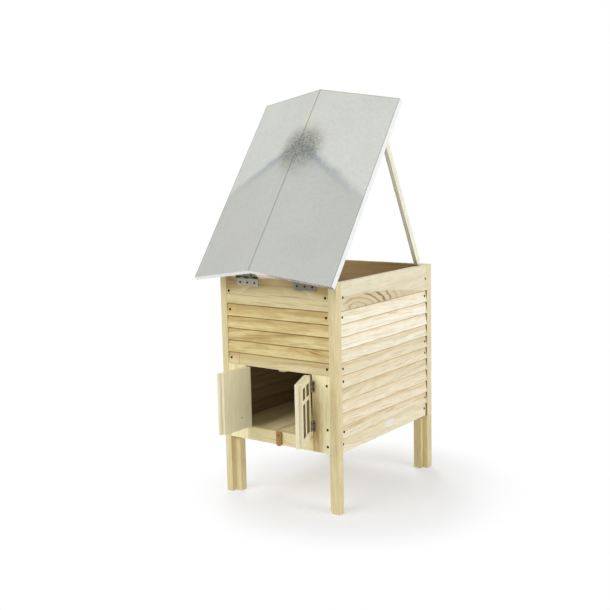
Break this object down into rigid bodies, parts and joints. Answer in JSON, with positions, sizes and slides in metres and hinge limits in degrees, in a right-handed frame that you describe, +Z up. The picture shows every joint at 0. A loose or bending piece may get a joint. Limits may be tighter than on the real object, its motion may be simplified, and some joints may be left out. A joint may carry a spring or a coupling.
{
  "type": "beehive",
  "caption": "Raised wooden beehive of lapped boards on corner posts, with a hinged sheet metal roof on a folding prop, small double front doors and a turn button.",
  "frame": {"origin": "on the ground, under the middle of the open hive's bounding box", "axes": "+Z up, -Y out of the front doors, +X to the right of a viewer who faces the doors"},
  "size_m": [0.468, 0.6386, 1.1573],
  "materials": {
    "zinc_sheet": "galvanised, dull",
    "zinc_steel": "zinc plated",
    "black_screws": "black phosphated",
    "board_pine": "planed, untreated",
    "rail_pine": "planed, untreated",
    "post_pine": "planed, untreated",
    "door_pine": "planed, untreated",
    "frame_pine": "planed, untreated",
    "floor_pine": "planed, untreated",
    "brown_wood": "hardwood, oiled"
  },
  "bodies": {
    "hive": {"back_boards": "board_pine", "bottom_rail_back": "rail_pine", "bottom_rail_left": "rail_pine", "bottom_rail_right": "rail_pine", "door_hinge_pins": "zinc_steel", "door_hinge_stile_leaves": "zinc_steel", "door_hinge_stile_screws": "zinc_steel", "door_stop": "door_pine", "floor_bearers": "floor_pine", "floor_boards": "floor_pine", "front_board_01": "board_pine", "front_board_02": "board_pine", "front_board_03": "board_pine", "front_board_04": "board_pine", "header": "rail_pine", "left_boards": "board_pine", "post_back_left": "post_pine", "post_back_right": "post_pine", "post_front_left": "post_pine", "post_front_right": "post_pine", "right_board_01": "board_pine", "right_board_02": "board_pine", "right_board_03": "board_pine", "right_board_04": "board_pine", "right_board_05": "board_pine", "right_board_06": "board_pine", "right_board_07": "board_pine", "right_board_08": "board_pine", "right_board_09": "board_pine", "right_board_10": "board_pine", "roof_hinge_pins": "zinc_steel", "roof_hinge_rail_leaves": "zinc_steel", "roof_hinge_rail_screws": "zinc_steel", "sill": "rail_pine", "stile_left": "rail_pine", "stile_right": "rail_pine", "top_rail_back": "rail_pine", "top_rail_front": "rail_pine", "top_rail_left": "rail_pine", "top_rail_right": "rail_pine", "turn_button_screw": "zinc_steel", "wall_screws": "black_screws"},
    "roof": {"roof_gable_back": "frame_pine", "roof_gable_front": "frame_pine", "roof_sheet": "zinc_sheet", "roof_side_left": "frame_pine", "roof_side_right": "frame_pine", "roof_hinge_lid_leaves": "zinc_steel", "roof_hinge_lid_screws": "zinc_steel", "prop_screw": "zinc_steel"},
    "prop": {"prop": "frame_pine"},
    "left_door_leaf": {"left_door": "door_pine", "left_door_hinge_leaves": "zinc_steel", "left_door_hinge_screws": "zinc_steel"},
    "right_door_leaf": {"right_door": "door_pine", "right_door_hinge_leaves": "zinc_steel", "right_door_hinge_screws": "zinc_steel", "right_door_muntins": "door_pine"},
    "button": {"turn_button": "brown_wood"}
  },
  "joints": [
    {"name": "roof_hinge", "type": "hinge", "parent": "hive", "child": "roof", "pos_m": [0, -0.20135, 0.6375], "axis": [1, 0, 0], "range_deg": [-53.9, 0]},
    {"name": "prop_pivot", "type": "hinge", "parent": "roof", "child": "prop", "pos_m": [0.1695, 0.07912, 1.04079], "axis": [1, 0, 0], "range_deg": [-62.6, 0]},
    {"name": "left_door_hinge", "type": "hinge", "parent": "hive", "child": "left_door_leaf", "pos_m": [-0.115, -0.20035, 0.209], "axis": [0, 0, -1], "range_deg": [-93.5, 56.5]},
    {"name": "right_door_hinge", "type": "hinge", "parent": "hive", "child": "right_door_leaf", "pos_m": [0.115, -0.20035, 0.209], "axis": [0, 0, 1], "range_deg": [-113.5, 36.5]},
    {"name": "turn_button_pivot", "type": "hinge", "parent": "hive", "child": "button", "pos_m": [0, -0.19815, 0.1973], "axis": [0, 1, 0], "range_deg": [0, 180]}
  ],
  "couplings": [
    {"joint": "prop_pivot", "follows": "roof_hinge", "ratio": 1.1614}
  ]
}
